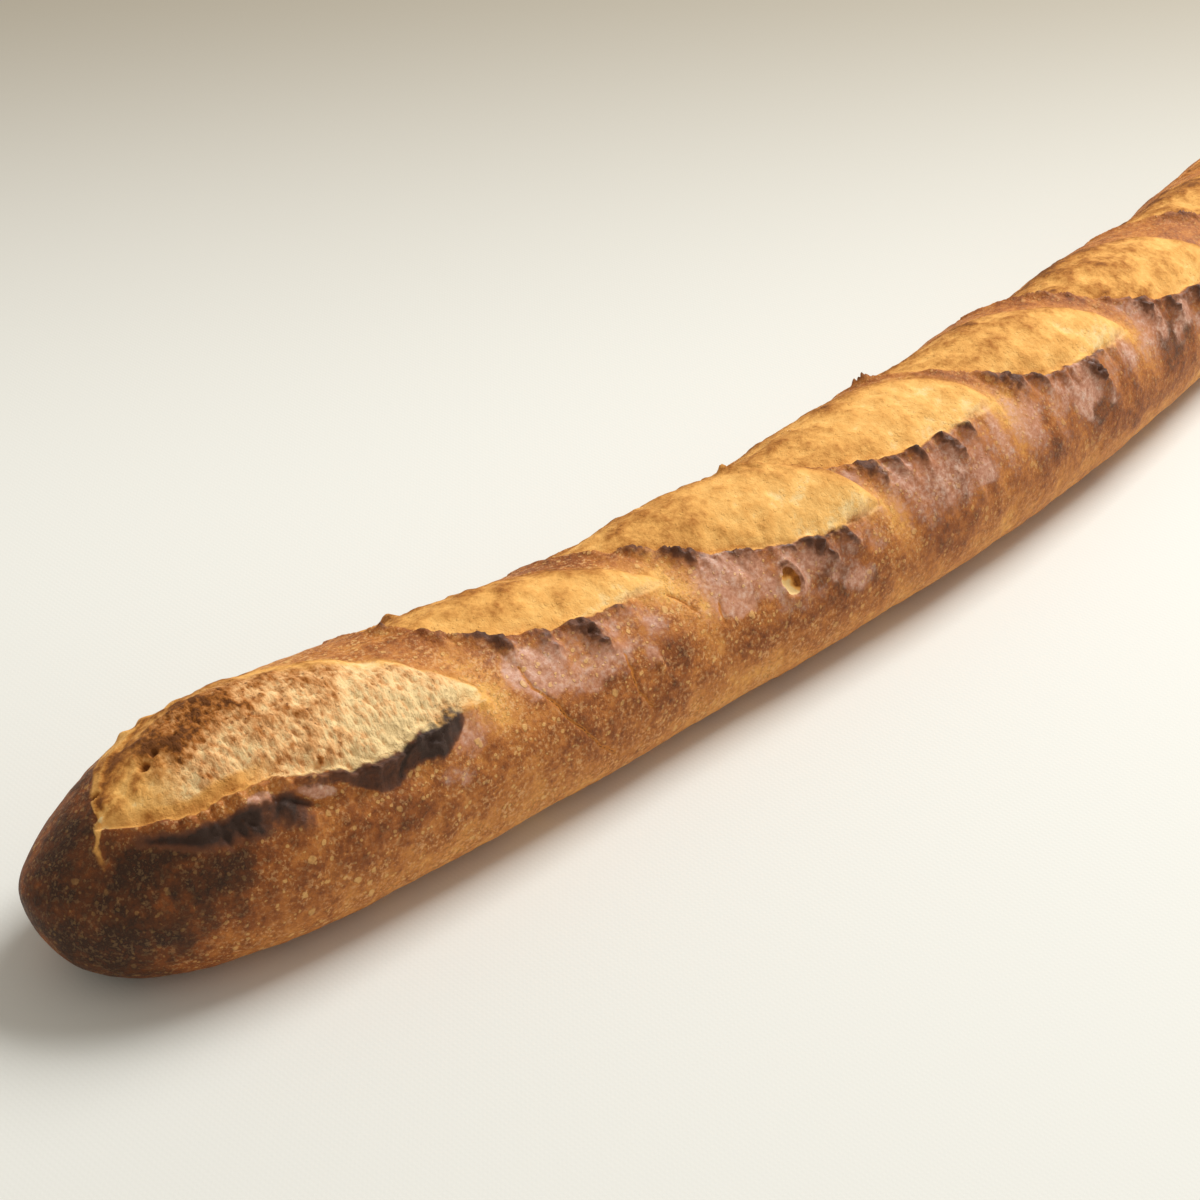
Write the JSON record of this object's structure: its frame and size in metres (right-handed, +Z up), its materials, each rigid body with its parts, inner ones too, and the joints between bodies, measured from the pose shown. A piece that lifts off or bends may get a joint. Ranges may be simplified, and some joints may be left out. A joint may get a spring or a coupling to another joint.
{
  "type": "baguette",
  "caption": "Long, slightly bent baguette with diagonal slashes that opened into raised burnt ears, lying on its flat base.",
  "frame": {"origin": "middle of the loaf's bounding box, at the height of its base", "axes": "+X along the loaf, from the end with the largest slash to the other; +Z up; the ears face -Y"},
  "size_m": [0.5936, 0.0932, 0.0586],
  "materials": {
    "crust": "baked crust, golden to burnt brown, satin, with a paler matte crumb in the slashes"
  },
  "bodies": {
    "root": {"loaf": "crust"}
  },
  "joints": []
}
